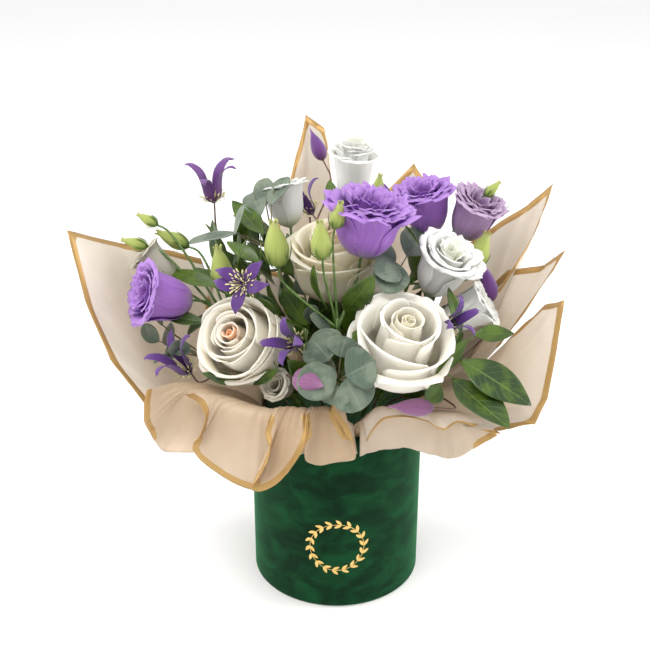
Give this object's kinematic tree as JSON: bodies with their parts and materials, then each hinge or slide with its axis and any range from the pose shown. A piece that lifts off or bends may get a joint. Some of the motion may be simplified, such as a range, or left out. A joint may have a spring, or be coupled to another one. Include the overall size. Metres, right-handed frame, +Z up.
{
  "type": "flower box",
  "caption": "Round velvet hat box with a lift-out liner, floral foam, roses, lisianthus, clematis and eucalyptus, and a gold-edged film collar.",
  "frame": {"origin": "middle of the underside of the box, on the surface that it stands on", "axes": "+Z up along the axis of the box, -Y the front with the foil wreath, +X to the right"},
  "size_m": [0.4407, 0.3661, 0.3952],
  "materials": {
    "velvet": "brushed dark green velvet with a patchy nap",
    "greyboard": "uncoated grey paperboard, roughness 0.9",
    "white_paper": "matt white lining paper, roughness 0.8",
    "gold_foil": "hot-stamped gold foil, satin, roughness 0.3",
    "liner_plastic": "black moulded plastic pot, roughness 0.5",
    "floral_foam": "wet green floral foam, crumbly, roughness 0.95",
    "wrap_film": "translucent cream film with a printed gold border, roughness 0.4",
    "green_stem": "fresh green stem, semi-matt, roughness 0.5",
    "brown_vine": "thin brown-green vine, roughness 0.7",
    "white_rose_petal": "creamy white petal, soft sheen, roughness 0.55",
    "peach_rose_petal": "white petal with a peach heart, roughness 0.55",
    "purple_petal": "frilly violet petal, roughness 0.5",
    "lilac_petal": "pale lilac petal, roughness 0.5",
    "white_petal": "white frilly petal, roughness 0.5",
    "clematis_petal": "dark purple petal with paler ribs, roughness 0.5",
    "eucalyptus_leaf": "powdery grey-green leaf, roughness 0.75",
    "green_leaf": "glossy dark green leaf with pale veins, roughness 0.35"
  },
  "bodies": {
    "box": {"base_board": "greyboard", "base_paper": "white_paper", "board_tube": "greyboard", "foil_wreath": "gold_foil", "lining_paper": "white_paper", "velvet_cover": "velvet"},
    "arrangement": {"bud_low": "clematis_petal", "bud_right": "clematis_petal", "bud_top": "clematis_petal", "clematis_dark": "clematis_petal", "clematis_low": "clematis_petal", "clematis_pink": "clematis_petal", "clematis_right": "clematis_petal", "clematis_star": "clematis_petal", "clematis_tall": "clematis_petal", "eucalyptus_front": "eucalyptus_leaf", "eucalyptus_left": "eucalyptus_leaf", "eucalyptus_right": "eucalyptus_leaf", "eucalyptus_top": "eucalyptus_leaf", "floral_foam": "floral_foam", "foliage_back": "green_leaf", "foliage_left": "green_leaf", "foliage_right": "green_leaf", "liner_pot": "liner_plastic", "lisianthus_cream_low": "white_petal", "lisianthus_lilac": "lilac_petal", "lisianthus_purple_left": "purple_petal", "lisianthus_purple_mid": "purple_petal", "lisianthus_purple_right": "purple_petal", "lisianthus_white_back": "white_petal", "lisianthus_white_low": "white_petal", "lisianthus_white_right": "white_petal", "lisianthus_white_top": "white_petal", "rose_back": "white_rose_petal", "rose_back_stem": "green_stem", "rose_cream": "white_rose_petal", "rose_cream_stem": "green_stem", "rose_peach": "peach_rose_petal", "rose_peach_stem": "green_stem", "rose_white": "white_rose_petal", "rose_white_stem": "green_stem", "spray_left": "green_stem", "spray_mid": "green_stem", "spray_right": "green_stem", "spray_top": "green_stem", "spray_white": "green_stem", "vine_back": "brown_vine", "vine_front": "brown_vine", "vine_left": "brown_vine", "vine_right": "brown_vine", "wrap_back_left": "wrap_film", "wrap_back_right": "wrap_film", "wrap_front": "wrap_film", "wrap_front_left": "wrap_film", "wrap_front_right": "wrap_film", "wrap_left": "wrap_film", "wrap_rear_left": "wrap_film", "wrap_right": "wrap_film", "wrap_right_low": "wrap_film", "wrap_right_up": "wrap_film"}
  },
  "joints": [
    {"name": "arrangement_lift", "type": "slide", "parent": "box", "child": "arrangement", "axis": [0, 0, 1], "range_m": [0, 0.2]}
  ]
}
